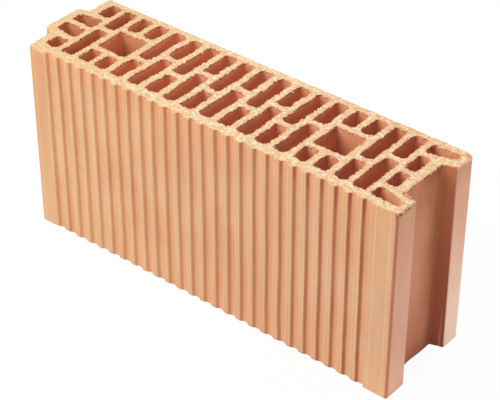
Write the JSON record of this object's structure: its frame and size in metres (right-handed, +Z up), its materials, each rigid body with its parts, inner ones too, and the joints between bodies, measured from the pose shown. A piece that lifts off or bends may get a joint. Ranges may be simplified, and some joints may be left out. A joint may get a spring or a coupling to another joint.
{
  "type": "hollow clay brick",
  "caption": "Hollow fired-clay partition block with staggered upright cells, square grip holes, a ribbed plaster face, and a tongue and a groove on its ends.",
  "frame": {"origin": "centre of the bottom of the block's box, on the floor", "axes": "+X along the block from the tongue end to the groove end, +Y from the ribbed front to the flat back, +Z up along the cells"},
  "size_m": [0.512, 0.132, 0.238],
  "materials": {
    "fired_clay": "matte, porous, unglazed"
  },
  "bodies": {
    "root": {"brick": "fired_clay"}
  },
  "joints": []
}
